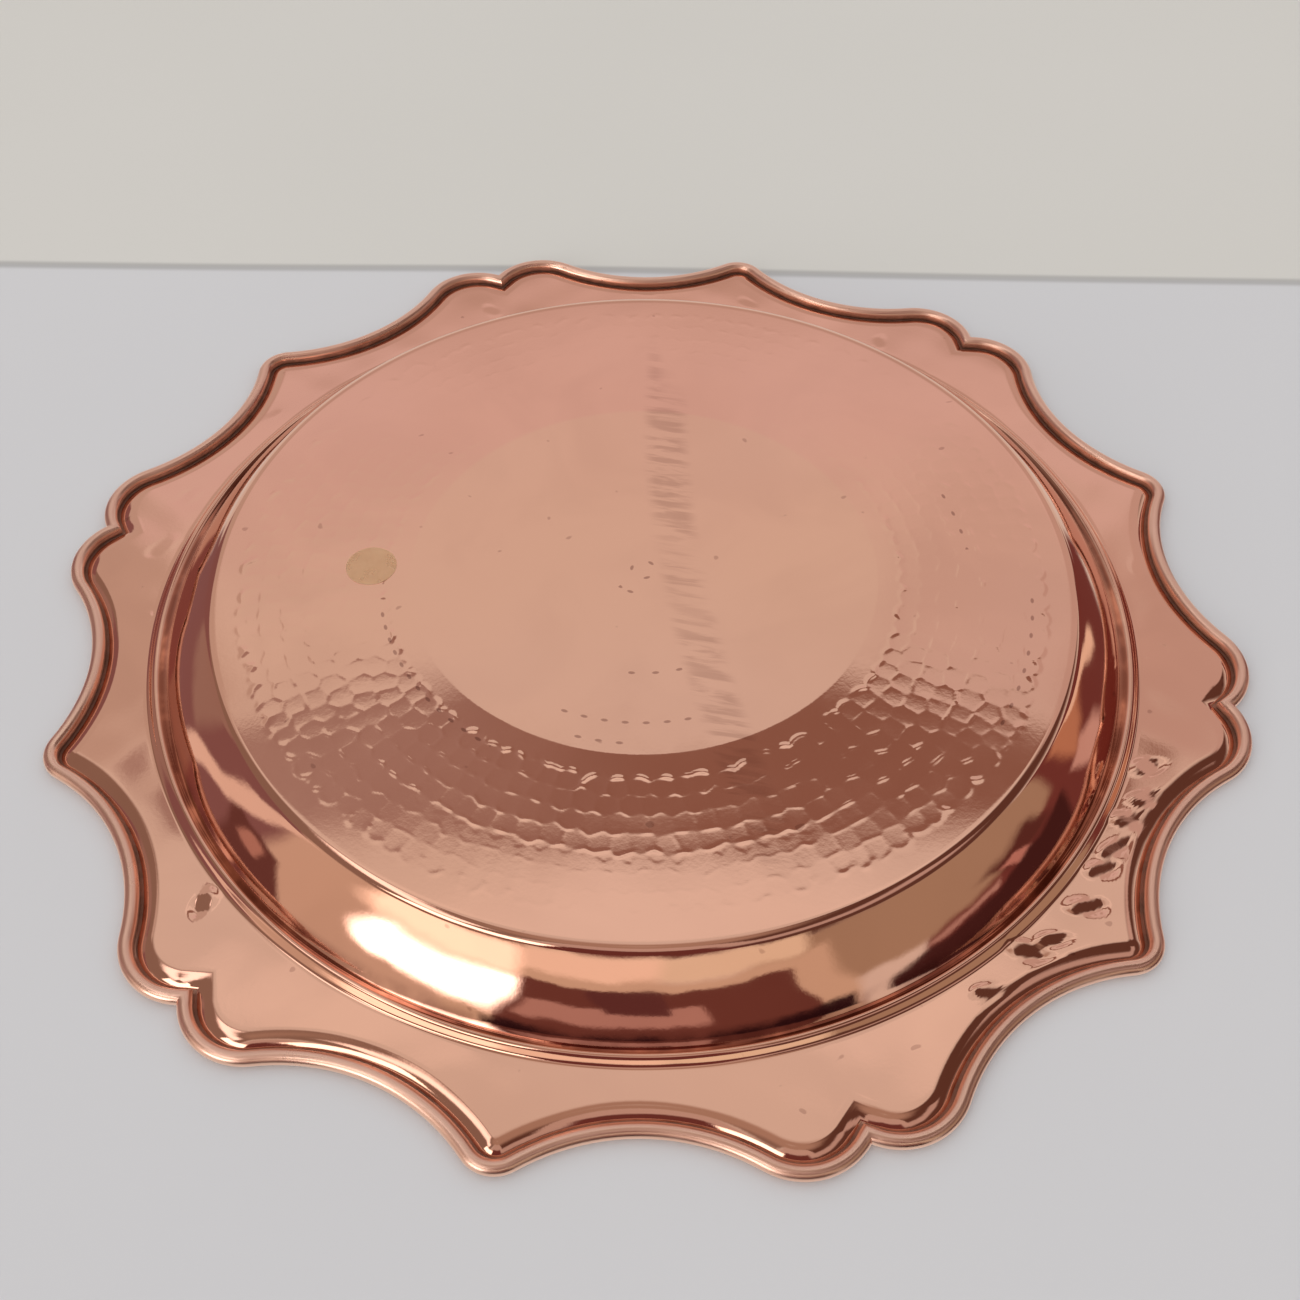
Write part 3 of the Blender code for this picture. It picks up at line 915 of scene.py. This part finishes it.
def patch(nodes, azimuth, elevation, centre, half_width, low, high, soft, lean):
    """1 inside a window of the surroundings, given in degrees; lean shifts it sideways as it rises."""
    turn = nodes.math("SUBTRACT", azimuth, centre)
    if lean:
        turn = nodes.math("SUBTRACT", turn, nodes.math("MULTIPLY", elevation, lean))
    turn = nodes.math("WRAP", turn, 180.0, -180.0)
    inside = nodes.ramp(nodes.math("ABSOLUTE", turn), half_width - soft, half_width + soft, 1.0, 0.0)
    inside = nodes.math("MULTIPLY", inside, nodes.ramp(elevation, low - soft, low + soft))
    return nodes.math("MULTIPLY", inside, nodes.ramp(elevation, high - soft, high + soft, 1.0, 0.0))


def wobbled(nodes, sight, value, scale, detail, swing):
    """The value, an angle in degrees, with an uneven wobble added."""
    off = nodes.math("SUBTRACT", nodes.noise(sight, scale, detail), 0.5)
    return nodes.math("ADD", value, nodes.math("MULTIPLY", off, swing))


def add_surroundings():
    """A soft studio by direction: pale all round, with the darker and brighter things a room has."""
    world = bpy.data.worlds.new("studio")
    bpy.context.scene.world = world
    world.use_nodes = True
    nodes = Nodes(world.node_tree)
    background = world.node_tree.nodes["Background"]
    sight = nodes.add("ShaderNodeTexCoord").outputs["Generated"]
    away = (-math.sin(CAMERA_AZIMUTH), math.cos(CAMERA_AZIMUTH), 0)
    right = (math.cos(CAMERA_AZIMUTH), math.sin(CAMERA_AZIMUTH), 0)
    forward, sideways = nodes.dot(sight, away), nodes.dot(sight, right)
    degrees = 180 / math.pi
    azimuth = nodes.math("MULTIPLY", nodes.math("ARCTAN2", sideways, forward), degrees)
    elevation = nodes.math("MULTIPLY", nodes.math("ARCSINE", nodes.dot(sight, (0, 0, 1))), degrees)
    side = nodes.math("ABSOLUTE", azimuth)

    turned_to = wobbled(nodes, sight, azimuth, *WOBBLE_SIDEWAYS)
    height = wobbled(nodes, sight, elevation, *WOBBLE_UP)

    colour = PALE
    for centre, half_width, low, high, soft, lean, shade in ROOM:
        inside = patch(nodes, turned_to, height, centre, half_width, low, high, soft, lean)
        colour = nodes.mix(inside, colour, (*shade, 1))

    aside = nodes.math("POWER", nodes.math("DIVIDE", side, BAND_DROP_AT), 2.0)
    top = nodes.math("SUBTRACT", BAND_TOP, nodes.math("MULTIPLY", aside, BAND_DROP))
    below = nodes.math("SUBTRACT", top, elevation)
    band = nodes.math("MULTIPLY", nodes.ramp(elevation, *BAND_LOW),
                      nodes.ramp(below, -BAND_TOP_SOFT, BAND_TOP_SOFT))
    band = nodes.math("MULTIPLY", band, nodes.ramp(side, *BAND_ENDS, 1.0, 0.0))
    tone = nodes.mix(nodes.ramp(azimuth, *BAND_TONES_AT), *BAND_TONES)
    colour = nodes.mix(band, colour, tone)

    rays = nodes.add("ShaderNodeLightPath").outputs
    colour = nodes.mix(rays["Is Diffuse Ray"], colour, PALE_TO_DIFFUSE)
    colour = nodes.mix(rays["Is Camera Ray"], colour, PALE_TO_CAMERA)
    nodes.link(colour, background.inputs["Color"])


def add_camera():
    lens = bpy.data.cameras.new("camera")
    lens.lens = CAMERA_LENS
    lens.sensor_width = CAMERA_SENSOR
    lens.clip_start = CAMERA_NEAR
    camera = bpy.data.objects.new("camera", lens)
    camera.location = CAMERA_PLACE
    camera.rotation_mode = "QUATERNION"
    camera.rotation_quaternion = (CAMERA_AIM - CAMERA_PLACE).to_track_quat("-Z", "Y")
    bpy.context.scene.collection.objects.link(camera)
    bpy.context.scene.camera = camera


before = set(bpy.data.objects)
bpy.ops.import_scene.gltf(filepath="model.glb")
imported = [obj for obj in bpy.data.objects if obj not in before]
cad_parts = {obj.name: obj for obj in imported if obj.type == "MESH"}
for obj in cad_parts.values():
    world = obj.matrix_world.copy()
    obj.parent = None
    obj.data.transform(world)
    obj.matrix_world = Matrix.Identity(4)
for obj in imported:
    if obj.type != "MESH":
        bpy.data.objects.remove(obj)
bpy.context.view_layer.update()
OUTLINES = {share: outline(share) for share in (1, 2)}

finishes = [copper_material("polished_copper", POLISHED_ROUGHNESS, COPPER, True),
            copper_material("edge_copper", RUBBED_ROUGHNESS, COPPER_WORN, False), valley_material()]
add_piece("hammered_tray", sheet_mesh(), finishes, "hammered_sheet")
add_piece("label_film", label_mesh(*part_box("round_label")), [label_material()], "round_label")
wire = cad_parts["rim_wire"]
wire.data.materials.clear()
wire.data.materials.append(wire_material())

add_floor()
add_surroundings()
add_camera()
bpy.context.scene.view_settings.view_transform = "Standard"
